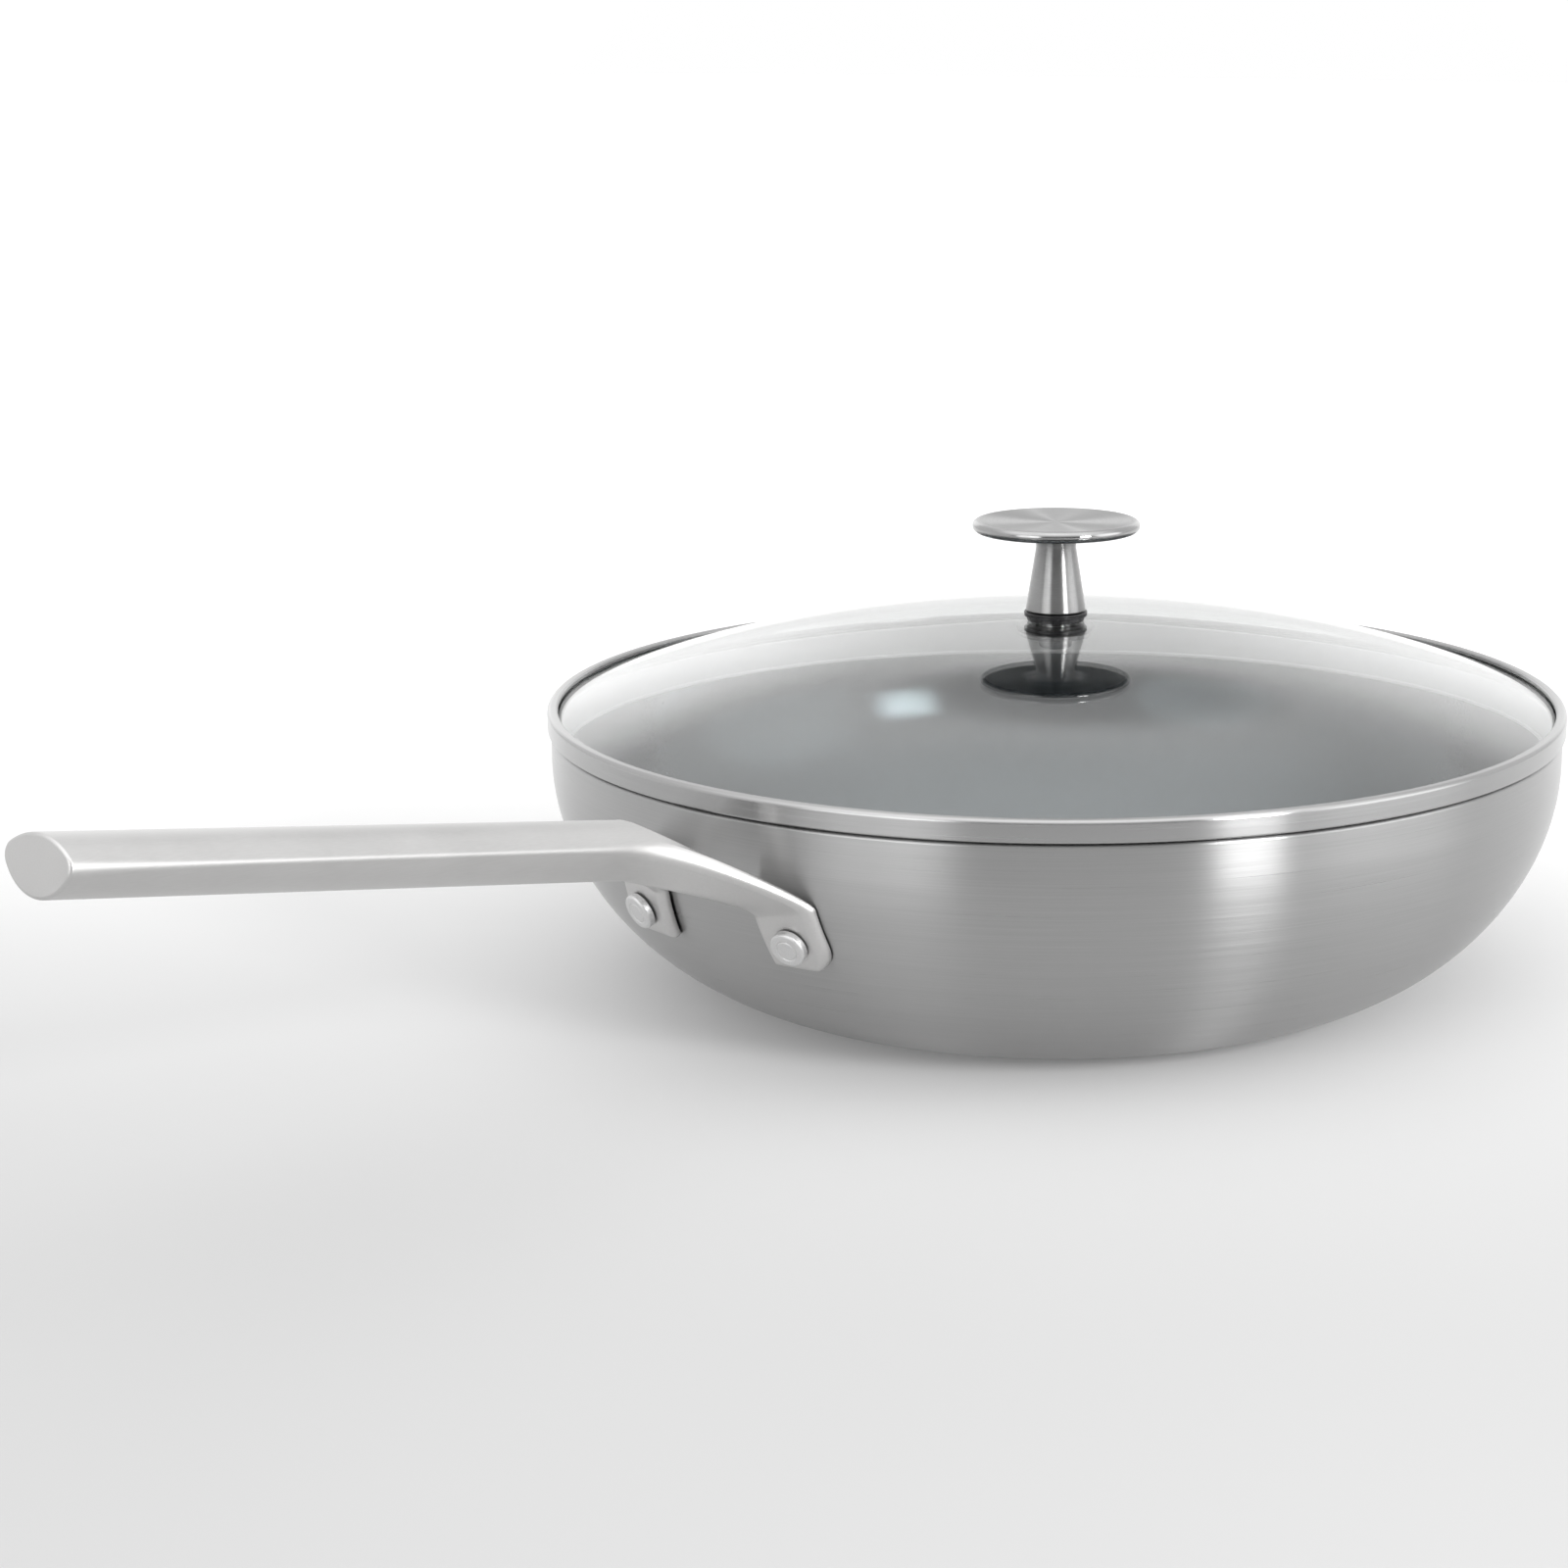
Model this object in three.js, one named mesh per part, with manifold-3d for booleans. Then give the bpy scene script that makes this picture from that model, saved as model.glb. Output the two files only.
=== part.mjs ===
// Wok with a domed glass lid: a clad steel bowl with a grey lining, a forked steel handle held by two rivets,
// and a glass lid in a steel band with a turned steel knob.
// Millimetres, +Z up. The origin is the middle of the flat base's underside, and the handle points along -X.

import * as THREE from 'three';
import { mergeVertices } from 'three/addons/utils/BufferGeometryUtils.js';
import Module from 'manifold-3d';

const wasm = await Module();
wasm.setup();

// Bowl
const RIM_RADIUS = 143.3;
const BODY_HEIGHT = 72.5;
const BASE_RADIUS = 83.8;
const STRAIGHT_WALL = 7.6;
const WALL_PULL = 35.5;
const BASE_PULL = 26.5;
const WALL = 2.6;
const RIM_ROUND = 0.8;
const LINING = 0.3;
const LINING_DROP = 2;

// Handle: a lens-shaped bar that rises outwards, forks, and ends in two ears on the bowl's wall
const BAR_LENGTH = 165;
const BAR_RISE = THREE.MathUtils.degToRad(10.5);
const END_WIDTH = 25;
const END_CROWN = 5;
const END_KEEL = 8.7;
const FORK_WIDTH = 22.8;
const FORK_CROWN = 4.8;
const FORK_KEEL = 10;
const FORK_REACH = 27.9;
const FORK_CLIMB = 28.2;
const LEG_INNER_PULL = 9;
const LEG_OUTER_PULL = 4;
const LEG_END_PULL = 4;
const EAR_WIDTH = 18;
const EAR_THICKNESS = 3;
const EAR_CORNER = 7.4;
const EAR_INNER_CORNER = 1.2;
const EAR_BELOW_RIVET = 7.9;
const EAR_ABOVE_RIVET = 5.6;
const EAR_TOP_TILT = 3.5;
const EAR_SPLAY = 0.12;
const EDGE_CHAMFER = 0.9;

// Rivets
const RIVET_SPACING = 51;
const RIVET_DROP = 29.6;
const RIVET_SHANK_RADIUS = 3;
const RIVET_HEAD_RADIUS = 4.9;
const RIVET_HEAD_HEIGHT = 2.2;
const RIVET_HEAD_ROUND = 0.6;
const RIVET_TAIL_RADIUS = 5.2;
const RIVET_TAIL_HEIGHT = 1.2;
const RIVET_TAIL_SEAT = 1;

// Lid band and glass
const BAND_OVERHANG = 0.9;
const BAND_SHEET = 0.6;
const BAND_LIP = 1.5;
const BAND_LIP_REACH = 3;
const BAND_ROUND = 1.2;
const SKIRT_DEPTH = 8.6;
const SKIRT_CLEARANCE = 0.6;
const GLASS = 3;
const DOME_RISE = 23.5;
const DOME_POWER = 2.38;
const GLASS_HOLE_RADIUS = 5.5;
const SEAL = 1;

// Knob and what clamps it to the glass
const KNOB_RADIUS = 23.75;
const KNOB_RIM = 3.2;
const KNOB_DISH = 0.6;
const KNOB_DISH_RADIUS = 12;
const KNOB_HEIGHT = 25.8;
const STEM_BASE_RADIUS = 8.6;
const STEM_NECK_RADIUS = 5.7;
const NECK_DROP = 4.6;
const NECK_FLARE = 4;
const GASKET = 2.6;
const GASKET_RADIUS = 9;
const GASKET_STEP = 0.8;
const UNDER_GASKET = 1.5;
const UNDER_GASKET_RADIUS = 11;
const WASHER = 1;
const WASHER_RADIUS = 10;
const SCREW_RADIUS = 2.5;
const SCREW_GRIP = 10;
const SCREW_END_ROOM = 2;
const SCREW_HEAD_RADIUS = 4.75;
const SCREW_HEAD_HEIGHT = 2.8;
const SCREW_HEAD_ROUND = 1.2;

// Clearances
const REST_GAP = 0.3;
const HOLE_CLEARANCE = 0.3;
const BOND_GAP = 0.05;
const SEAL_GAP = 0.1;

// Facets
const BOWL_SIDES = 60;
const KNOB_SIDES = 36;
const SMALL_SIDES = 24;
const WALL_STEPS = 9;
const DOME_STEPS = 8;
const EAR_CORNER_STEPS = 3;
const BAND_ROUND_STEPS = 3;
const NECK_FLARE_STEPS = 5;
const KNOB_RIM_STEPS = 6;
const BAR_SHARES = [1, 0.5, 0];
const LEG_SHARES = [0, 0.1, 0.22, 0.36, 0.5, 0.64, 0.78, 0.9, 1];
const ACROSS_SHARES = [0, 0.3, 0.55, 0.8, 0.95, 1];
const WELD_DISTANCE = 1e-3;
const SHARE_TOLERANCE = 1e-6;

const V2 = (x, y) => new THREE.Vector2(x, y);
const SIDES = { left: 1, right: -1 };

const STEEL = new THREE.MeshStandardMaterial({ color: 0xb9bbbd, roughness: 0.35, metalness: 1 });
const SATIN = new THREE.MeshStandardMaterial({ color: 0xc9c9c7, roughness: 0.5, metalness: 1 });
const CERAMIC = new THREE.MeshStandardMaterial({ color: 0x868c91, roughness: 0.45, metalness: 0 });
const CLEAR = new THREE.MeshStandardMaterial({
  color: 0xe4ecec, roughness: 0.03, metalness: 0, transparent: true, opacity: 0.3,
});
const RUBBER = new THREE.MeshStandardMaterial({ color: 0x18191a, roughness: 0.6, metalness: 0 });
const SILICONE = new THREE.MeshStandardMaterial({ color: 0xc8cccc, roughness: 0.5, metalness: 0 });

// A solid turned about +Z from a profile of (radius, height) points.
function turned(profile, sides) {
  return new THREE.LatheGeometry(profile, sides).rotateX(Math.PI / 2);
}

// A turned ring, whose profile closes on itself.
function turnedRing(profile, sides) {
  return turned([...profile, profile[0].clone()], sides);
}

function solidOf(geometry) {
  const bare = geometry.clone();
  bare.deleteAttribute('normal');
  bare.deleteAttribute('uv');
  const welded = mergeVertices(bare, WELD_DISTANCE);
  const corners = new Float32Array(welded.attributes.position.array);
  const triangles = new Uint32Array(welded.index.array).filter((_, i, all) => {
    const first = i - (i % 3);
    const [a, b, c] = [all[first], all[first + 1], all[first + 2]];
    return a !== b && b !== c && c !== a;
  });
  return new wasm.Manifold(new wasm.Mesh({ numProp: 3, vertProperties: corners, triVerts: triangles }));
}

function geometryOf(solid) {
  const mesh = solid.getMesh();
  const geometry = new THREE.BufferGeometry();
  geometry.setAttribute('position', new THREE.BufferAttribute(new Float32Array(mesh.vertProperties), 3));
  geometry.setIndex(new THREE.BufferAttribute(new Uint32Array(mesh.triVerts), 1));
  geometry.computeVertexNormals();
  return geometry;
}

function named(name, geometry, material) {
  const mesh = new THREE.Mesh(geometry, material);
  mesh.name = name;
  return mesh;
}

// The outside of the bowl's wall: flat base, a full curve, then an upright band up to the rim.
const curveTop = BODY_HEIGHT - STRAIGHT_WALL;
const wallCurve = new THREE.CubicBezierCurve(
  V2(BASE_RADIUS, 0),
  V2(BASE_RADIUS + BASE_PULL, 0),
  V2(RIM_RADIUS, curveTop - WALL_PULL),
  V2(RIM_RADIUS, curveTop),
);

// The point at share t of the curve, moved along the wall's outward normal.
function wallPoint(t, outwards) {
  const along = wallCurve.getTangent(t);
  return wallCurve.getPoint(t).add(V2(along.y, -along.x).multiplyScalar(outwards));
}

function wallShare(height) {
  let low = 0;
  let high = 1;
  while (high - low > SHARE_TOLERANCE) {
    const middle = (low + high) / 2;
    if (wallCurve.getPoint(middle).y < height) low = middle;
    else high = middle;
  }
  return low;
}

function wallLine(outwards) {
  return Array.from({ length: WALL_STEPS + 1 }, (_, i) => wallPoint(i / WALL_STEPS, outwards));
}

function bowlShell() {
  const inside = RIM_RADIUS - WALL;
  return turned([
    V2(0, 0),
    ...wallLine(0),
    V2(RIM_RADIUS, BODY_HEIGHT - RIM_ROUND),
    V2(RIM_RADIUS - RIM_ROUND, BODY_HEIGHT),
    V2(inside + RIM_ROUND, BODY_HEIGHT),
    V2(inside, BODY_HEIGHT - RIM_ROUND),
    ...wallLine(-WALL).reverse(),
    V2(0, WALL),
  ], BOWL_SIDES);
}

// The lining stops short of the rim, which stays bare steel.
const liningBack = WALL + BOND_GAP;
const liningFace = liningBack + LINING;
const liningTop = BODY_HEIGHT - LINING_DROP;
function lining() {
  return turned([
    V2(0, liningBack),
    ...wallLine(-liningBack),
    V2(RIM_RADIUS - liningBack, liningTop),
    V2(RIM_RADIUS - liningFace, liningTop),
    ...wallLine(-liningFace).reverse(),
    V2(0, liningFace),
  ], BOWL_SIDES);
}

// A rivet lies along the wall's normal: its frame has +Z outwards and its origin on the wall's outside.
const rivetHeight = BODY_HEIGHT - RIVET_DROP;
function rivetFrame(side) {
  const share = wallShare(rivetHeight);
  const spot = wallPoint(share, 0);
  const normal = wallPoint(share, 1).sub(spot);
  const y = side * RIVET_SPACING / 2;
  const x = -Math.sqrt(spot.x ** 2 - y ** 2);
  const outwards = new THREE.Vector3(x / spot.x * normal.x, y / spot.x * normal.x, normal.y);
  const turn = new THREE.Quaternion().setFromUnitVectors(new THREE.Vector3(0, 0, 1), outwards);
  return { position: new THREE.Vector3(x, y, rivetHeight), turn };
}

// The outer head sits on the ear. The flat inner head stands off the lining's hollow by the tail seat.
const rivetSeat = REST_GAP + EAR_THICKNESS + REST_GAP;
const rivetInside = -liningFace - RIVET_TAIL_SEAT;
function rivet(side) {
  const headTop = rivetSeat + RIVET_HEAD_HEIGHT;
  const tailEnd = rivetInside - RIVET_TAIL_HEIGHT;
  const mesh = named(`rivet_${side}`, turned([
    V2(0, tailEnd),
    V2(RIVET_SHANK_RADIUS, tailEnd),
    V2(RIVET_TAIL_RADIUS, rivetInside - RIVET_TAIL_HEIGHT / 2),
    V2(RIVET_TAIL_RADIUS, rivetInside),
    V2(RIVET_SHANK_RADIUS, rivetInside),
    V2(RIVET_SHANK_RADIUS, rivetSeat),
    V2(RIVET_HEAD_RADIUS, rivetSeat),
    V2(RIVET_HEAD_RADIUS, headTop - RIVET_HEAD_ROUND),
    V2(RIVET_HEAD_RADIUS - RIVET_HEAD_ROUND, headTop),
    V2(0, headTop),
  ], SMALL_SIDES), SATIN);
  const frame = rivetFrame(SIDES[side]);
  mesh.position.copy(frame.position);
  mesh.quaternion.copy(frame.turn);
  return mesh;
}

// Both rivet holes, long enough to pass through lining, wall and ear.
function drilled(geometry) {
  const reach = rivetSeat - rivetInside;
  let solid = solidOf(geometry);
  for (const side of Object.values(SIDES)) {
    const frame = rivetFrame(side);
    const drill = new THREE.CylinderGeometry(
      RIVET_SHANK_RADIUS + HOLE_CLEARANCE, RIVET_SHANK_RADIUS + HOLE_CLEARANCE, 2 * reach, SMALL_SIDES,
    ).rotateX(Math.PI / 2);
    drill.applyQuaternion(frame.turn).translate(...frame.position);
    solid = solid.subtract(solidOf(drill));
  }
  return geometryOf(solid);
}

// Handle sections.
// Each half outline runs from the underside's middle, round the side edge, to the top's middle.
const forkReach = RIM_RADIUS + FORK_REACH;
const forkHeight = rivetHeight + FORK_CLIMB;

function arcHeight(across, halfWidth, rise) {
  const radius = (halfWidth ** 2 + rise ** 2) / (2 * rise);
  return Math.sqrt(radius ** 2 - across ** 2) - (radius - rise);
}

// A point of the bar: distance from the fork along the bar, sideways, and square to the bar.
function barPoint(distance, sideways, square) {
  const reach = forkReach + distance * Math.cos(BAR_RISE) - square * Math.sin(BAR_RISE);
  const height = forkHeight + distance * Math.sin(BAR_RISE) + square * Math.cos(BAR_RISE);
  return new THREE.Vector3(-reach, sideways, height);
}

function barHalf(distance, side) {
  const share = distance / BAR_LENGTH;
  const half = THREE.MathUtils.lerp(FORK_WIDTH, END_WIDTH, share) / 2;
  const crown = THREE.MathUtils.lerp(FORK_CROWN, END_CROWN, share);
  const keel = THREE.MathUtils.lerp(FORK_KEEL, END_KEEL, share);
  const spot = (across, square) => barPoint(distance, side * across * half, square);
  const under = ACROSS_SHARES.map((a) => spot(a, -arcHeight(a * half, half, keel)));
  const over = ACROSS_SHARES.map((a) => spot(a, arcHeight(a * half, half, crown)));
  return [...under, ...over.reverse().slice(1)];
}

// A point on the ear: sideways from the handle's middle, at a height on the wall, and out from the wall.
function earPoint(side, sideways, height, outwards) {
  const spot = wallPoint(wallShare(height), outwards);
  return new THREE.Vector3(-Math.sqrt(spot.x ** 2 - sideways ** 2), side * sideways, spot.y);
}

// One cut across the ear, from its inner edge to its outer edge, with chamfered edges.
function earHalf(side, inner, outer) {
  const front = REST_GAP + EAR_THICKNESS;
  const spot = (share, outwards) => {
    const place = inner.clone().lerp(outer, share);
    return earPoint(side, place.x, place.y, outwards);
  };
  const flat = ACROSS_SHARES.slice(0, -1);
  return [
    ...flat.map((a) => spot(a, front)),
    spot(1, (front + REST_GAP) / 2),
    ...flat.map((a) => spot(a, REST_GAP)).reverse(),
  ];
}

function earMiddle(side, inner) {
  return earPoint(side, inner.x - EDGE_CHAMFER, inner.y, REST_GAP + EAR_THICKNESS / 2);
}

// The ear's cuts from its top, where the leg joins, down round its lower corners.
const earInner = (RIVET_SPACING - EAR_WIDTH) / 2;
const earOuter = (RIVET_SPACING + EAR_WIDTH) / 2;
const earBottom = rivetHeight - EAR_BELOW_RIVET;
const earTop = rivetHeight + EAR_ABOVE_RIVET;
const splayed = (place) => V2(place.x + (rivetHeight - place.y) * EAR_SPLAY, place.y);
const EAR_CUTS = [
  [V2(earInner, earTop), V2(earOuter, earTop + EAR_TOP_TILT)],
  [V2(earInner, (earTop + rivetHeight) / 2), V2(earOuter, (earTop + EAR_TOP_TILT + rivetHeight) / 2)],
  ...Array.from({ length: EAR_CORNER_STEPS + 1 }, (_, i) => {
    const turn = i / EAR_CORNER_STEPS * Math.PI / 2;
    const corner = (radius) => V2(radius * (1 - Math.cos(turn)), earBottom + radius * (1 - Math.sin(turn)));
    const inner = corner(EAR_INNER_CORNER);
    const outer = corner(EAR_CORNER);
    return [V2(earInner + inner.x, inner.y), V2(earOuter - outer.x, outer.y)];
  }),
].map((cut) => cut.map(splayed));

// One leg: each point of the fork's half outline runs on a curve to its place at the top of the ear.
function legRings(side) {
  const downBar = barPoint(-1, 0, 0).sub(barPoint(0, 0, 0));
  const sideways = new THREE.Vector3(0, side, 0);
  const [inner, outer] = EAR_CUTS[0];
  const forkHalf = barHalf(0, side);
  const forkMiddle = forkHalf[0].clone().lerp(forkHalf.at(-1), 0.5);
  const from = [...forkHalf, forkMiddle];
  const to = [...earHalf(side, inner, outer), earMiddle(side, inner)];
  const [nextInner, nextOuter] = EAR_CUTS[1];
  const onward = [...earHalf(side, nextInner, nextOuter), earMiddle(side, nextInner)];
  const curves = from.map((start, i) => {
    const mirrored = Math.min(i, from.length - 2 - i);
    const share = i === from.length - 1 ? 0 : ACROSS_SHARES[mirrored];
    const leave = sideways.clone().lerp(downBar, share).normalize();
    const pull = THREE.MathUtils.lerp(LEG_INNER_PULL, LEG_OUTER_PULL, share);
    const arrive = onward[i].clone().sub(to[i]).normalize();
    return new THREE.CubicBezierCurve3(
      start,
      start.clone().addScaledVector(leave, pull),
      to[i].clone().addScaledVector(arrive, -LEG_END_PULL),
      to[i],
    );
  });
  const leg = LEG_SHARES.map((share) => curves.map((curve) => curve.getPoint(share)));
  const ear = EAR_CUTS.slice(1).map(([a, b]) => [...earHalf(side, a, b), earMiddle(side, a)]);
  return [...leg, ...ear];
}

// Seen towards the bowl every ring runs clockwise, so that the right-hand leg's half outline is turned round.
function clockwise(ring, side) {
  if (side === SIDES.left) return ring;
  return [...ring.slice(0, -1).reverse(), ring.at(-1)];
}

function tube(rings) {
  const triangles = [];
  for (let i = 0; i + 1 < rings.length; i += 1) {
    const [a, b] = [rings[i], rings[i + 1]];
    a.forEach((_, j) => {
      const k = (j + 1) % a.length;
      triangles.push(a[j], a[k], b[k], a[j], b[k], b[j]);
    });
  }
  return triangles;
}

function cap(ring) {
  const middle = ring.reduce((sum, p) => sum.add(p), new THREE.Vector3()).divideScalar(ring.length);
  return ring.flatMap((p, j) => [middle, p, ring[(j + 1) % ring.length]]);
}

function handleBody() {
  const bar = BAR_SHARES.map((share) => {
    const left = barHalf(share * BAR_LENGTH, SIDES.left);
    const right = barHalf(share * BAR_LENGTH, SIDES.right).reverse();
    return [...left, ...right.slice(1, -1)];
  });
  const corners = [...cap([...bar[0]].reverse()), ...tube(bar)];
  for (const side of Object.values(SIDES)) {
    const rings = legRings(side).map((ring) => clockwise(ring, side));
    corners.push(...tube(rings), ...cap(rings.at(-1)));
  }
  return new THREE.BufferGeometry().setFromPoints(corners);
}

// Lid heights, from the rim upwards
const flangeBottom = BODY_HEIGHT + REST_GAP;
const flangeTop = flangeBottom + BAND_SHEET;
const bandRadius = RIM_RADIUS + BAND_OVERHANG;
const channelWall = bandRadius - BAND_SHEET;
const glassEdge = channelWall - SEAL - 2 * SEAL_GAP;
const glassSeat = flangeTop + REST_GAP;

function domeTop(radius) {
  return glassSeat + GLASS + DOME_RISE * (1 - (radius / glassEdge) ** DOME_POWER);
}

const lipRadius = bandRadius - BAND_LIP_REACH;
const lipBottom = domeTop(lipRadius) + REST_GAP;
const bandTop = lipBottom + BAND_LIP;
const skirtOuter = RIM_RADIUS - liningFace - SKIRT_CLEARANCE;
const skirtInner = skirtOuter - BAND_SHEET;

function lidBand() {
  const crown = new THREE.EllipseCurve(
    bandRadius - BAND_ROUND, bandTop - BAND_ROUND, BAND_ROUND, BAND_ROUND, 0, Math.PI / 2,
  );
  const skirtBottom = flangeBottom - SKIRT_DEPTH;
  return turnedRing([
    V2(skirtInner, skirtBottom),
    V2(skirtOuter, skirtBottom),
    V2(skirtOuter, flangeBottom),
    V2(channelWall, flangeBottom),
    V2(bandRadius, flangeTop),
    ...crown.getPoints(BAND_ROUND_STEPS),
    V2(lipRadius + BAND_SHEET, bandTop),
    V2(lipRadius, bandTop - BAND_SHEET),
    V2(lipRadius, lipBottom),
    V2(channelWall, lipBottom),
    V2(channelWall, flangeTop),
    V2(skirtInner, flangeTop),
  ], BOWL_SIDES);
}

function lidGlass() {
  const top = Array.from({ length: DOME_STEPS + 1 }, (_, i) => {
    const radius = THREE.MathUtils.lerp(GLASS_HOLE_RADIUS, glassEdge, i / DOME_STEPS);
    return V2(radius, domeTop(radius));
  });
  const bottom = top.map((p) => V2(p.x, p.y - GLASS));
  return turnedRing([...bottom, ...top.reverse()], BOWL_SIDES);
}

// The bead between the glass's edge and the band's wall.
function rimSeal() {
  const inner = glassEdge + SEAL_GAP;
  const bottom = flangeTop + SEAL_GAP;
  const top = glassSeat + GLASS;
  return turnedRing([
    V2(inner, bottom), V2(inner + SEAL, bottom), V2(inner + SEAL, top), V2(inner, top),
  ], BOWL_SIDES);
}

// Knob stack heights, outwards from both faces of the glass
const gasketBottom = domeTop(0) + REST_GAP;
const gasketTop = gasketBottom + GASKET;
const stemBottom = gasketTop + REST_GAP;
const underTop = domeTop(UNDER_GASKET_RADIUS) - GLASS - REST_GAP;
const washerTop = underTop - UNDER_GASKET - REST_GAP;
const screwHeadTop = washerTop - WASHER - REST_GAP;
const screwBore = SCREW_RADIUS + HOLE_CLEARANCE;

function knob() {
  const discBottom = stemBottom + KNOB_HEIGHT - KNOB_RIM;
  const boreTop = stemBottom + SCREW_GRIP + SCREW_END_ROOM;
  const flare = new THREE.QuadraticBezierCurve(
    V2(STEM_NECK_RADIUS, discBottom - NECK_DROP),
    V2(STEM_NECK_RADIUS, discBottom),
    V2(STEM_NECK_RADIUS + NECK_FLARE, discBottom),
  );
  const round = KNOB_RIM / 2;
  const edge = new THREE.EllipseCurve(
    KNOB_RADIUS - round, discBottom + round, round, round, -Math.PI / 2, Math.PI / 2,
  );
  return turned([
    V2(0, boreTop),
    V2(screwBore, boreTop),
    V2(screwBore, stemBottom),
    V2(STEM_BASE_RADIUS, stemBottom),
    ...flare.getPoints(NECK_FLARE_STEPS),
    ...edge.getPoints(KNOB_RIM_STEPS),
    V2(KNOB_DISH_RADIUS, discBottom + KNOB_RIM - KNOB_DISH),
    V2(0, discBottom + KNOB_RIM - KNOB_DISH),
  ], KNOB_SIDES);
}

// Stepped washer above the glass, with a sleeve down into the hole.
function knobGasket() {
  const sleeve = GLASS_HOLE_RADIUS - HOLE_CLEARANCE;
  const step = (gasketBottom + gasketTop) / 2;
  return turnedRing([
    V2(screwBore, gasketBottom - GLASS + REST_GAP),
    V2(sleeve, gasketBottom - GLASS + REST_GAP),
    V2(sleeve, gasketBottom),
    V2(GASKET_RADIUS - GASKET_STEP, gasketBottom),
    V2(GASKET_RADIUS - GASKET_STEP, step),
    V2(GASKET_RADIUS, step),
    V2(GASKET_RADIUS, gasketTop),
    V2(screwBore, gasketTop),
  ], SMALL_SIDES);
}

function flatRing(outer, top, thickness) {
  return turnedRing([
    V2(screwBore, top - thickness), V2(outer, top - thickness), V2(outer, top), V2(screwBore, top),
  ], SMALL_SIDES);
}

function knobScrew() {
  const headBottom = screwHeadTop - SCREW_HEAD_HEIGHT;
  const tip = stemBottom + SCREW_GRIP;
  return turned([
    V2(0, headBottom),
    V2(SCREW_HEAD_RADIUS - SCREW_HEAD_ROUND, headBottom),
    V2(SCREW_HEAD_RADIUS, headBottom + SCREW_HEAD_ROUND),
    V2(SCREW_HEAD_RADIUS, screwHeadTop),
    V2(SCREW_RADIUS, screwHeadTop),
    V2(SCREW_RADIUS, tip),
    V2(0, tip),
  ], SMALL_SIDES);
}

const wok = new THREE.Group();
wok.add(
  named('wok_body', drilled(bowlShell()), STEEL),
  named('nonstick_lining', drilled(lining()), CERAMIC),
  named('handle', drilled(handleBody()), SATIN),
  rivet('left'),
  rivet('right'),
);

const lid = new THREE.Group();
lid.add(
  named('lid_band', lidBand(), STEEL),
  named('lid_glass', lidGlass(), CLEAR),
  named('rim_seal', rimSeal(), SILICONE),
  named('knob', knob(), STEEL),
  named('knob_gasket', knobGasket(), RUBBER),
  named('under_gasket', flatRing(UNDER_GASKET_RADIUS, underTop, UNDER_GASKET), RUBBER),
  named('knob_washer', flatRing(WASHER_RADIUS, washerTop, WASHER), STEEL),
  named('knob_screw', knobScrew(), STEEL),
);

const part = new THREE.Group();
part.add(wok, lid);

export default part;
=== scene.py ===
import math

import bpy
import numpy as np
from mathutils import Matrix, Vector


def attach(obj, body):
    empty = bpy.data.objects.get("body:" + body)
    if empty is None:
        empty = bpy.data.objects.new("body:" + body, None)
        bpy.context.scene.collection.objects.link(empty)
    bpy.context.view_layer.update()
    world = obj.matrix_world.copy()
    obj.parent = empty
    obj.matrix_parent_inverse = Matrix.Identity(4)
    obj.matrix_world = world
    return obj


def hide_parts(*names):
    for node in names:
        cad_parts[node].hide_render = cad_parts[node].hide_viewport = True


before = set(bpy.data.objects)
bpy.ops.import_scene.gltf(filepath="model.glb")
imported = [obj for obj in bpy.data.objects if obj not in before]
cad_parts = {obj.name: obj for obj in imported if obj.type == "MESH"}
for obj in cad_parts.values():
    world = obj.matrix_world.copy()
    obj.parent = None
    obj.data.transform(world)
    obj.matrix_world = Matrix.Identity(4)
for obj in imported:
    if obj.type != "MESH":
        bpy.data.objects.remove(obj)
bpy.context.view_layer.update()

# Looks of a lidded wok: smooth meshes in place of the faceted CAD nodes, with brushed steel, dark
# coating and glass. Sizes are in millimetres until a mesh is made, and repeat the CAD's values so
# that each piece lies where its node is.
MM = 0.001

# Roundings that many edges share
EDGE_CRISP = 0.1
EDGE_FINE = 0.2
EDGE_SOFT = 0.3

# Bowl
RIM_RADIUS = 143.3
BODY_HEIGHT = 72.5
BASE_RADIUS = 83.8
STRAIGHT_WALL = 7.6
WALL_PULL = 35.5
BASE_PULL = 26.5
WALL = 2.6
RIM_ROUND = 0.9
LINING = 0.3
LINING_DROP = 2
BOND_GAP = 0.05
REST_GAP = 0.3

# Handle
BAR_LENGTH = 165
BAR_RISE = math.radians(10.5)
END_HALF = (12.5, 5, 8.7)
FORK_HALF = (11.4, 4.8, 10)
FORK_REACH = 27.9
FORK_CLIMB = 28.2
LEG_INNER_PULL = 9
LEG_OUTER_PULL = 4
LEG_END_PULL = 4
CREASE_ROUND = 1.5
ARM_CREASE_ROUND = 4.6
ARM_CREASE_REACH = 30
END_CREASE_ROUND = 3.2
END_CREASE_REACH = 45
BEND_REACH = 24
BEND_SPREAD = 5.5
# The bend's easing ends this many spreads away, and sets in from this share of the half width
BEND_WINDOW = 3
BEND_EASE_START = 0.1
BEND_EASE_STRETCH = 0.4
END_ROUND = 0.8
EAR_WIDTH = 18
EAR_THICKNESS = 3
EAR_CORNER = 7.4
EAR_INNER_CORNER = 1.2
EAR_BELOW_RIVET = 7.9
EAR_ABOVE_RIVET = 5.6
EAR_TOP_TILT = 3.5
EAR_SPLAY = 0.12
EAR_FRONT_ROUND = 2.5
EAR_BACK_ROUND = 0.4
# Arcs of the ear's inner edge: first angle, last angle and number of points
EAR_INNER_BACK = (0.3, math.pi / 2, 5)
EAR_INNER_FRONT = (0, 1.4, 6)
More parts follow.
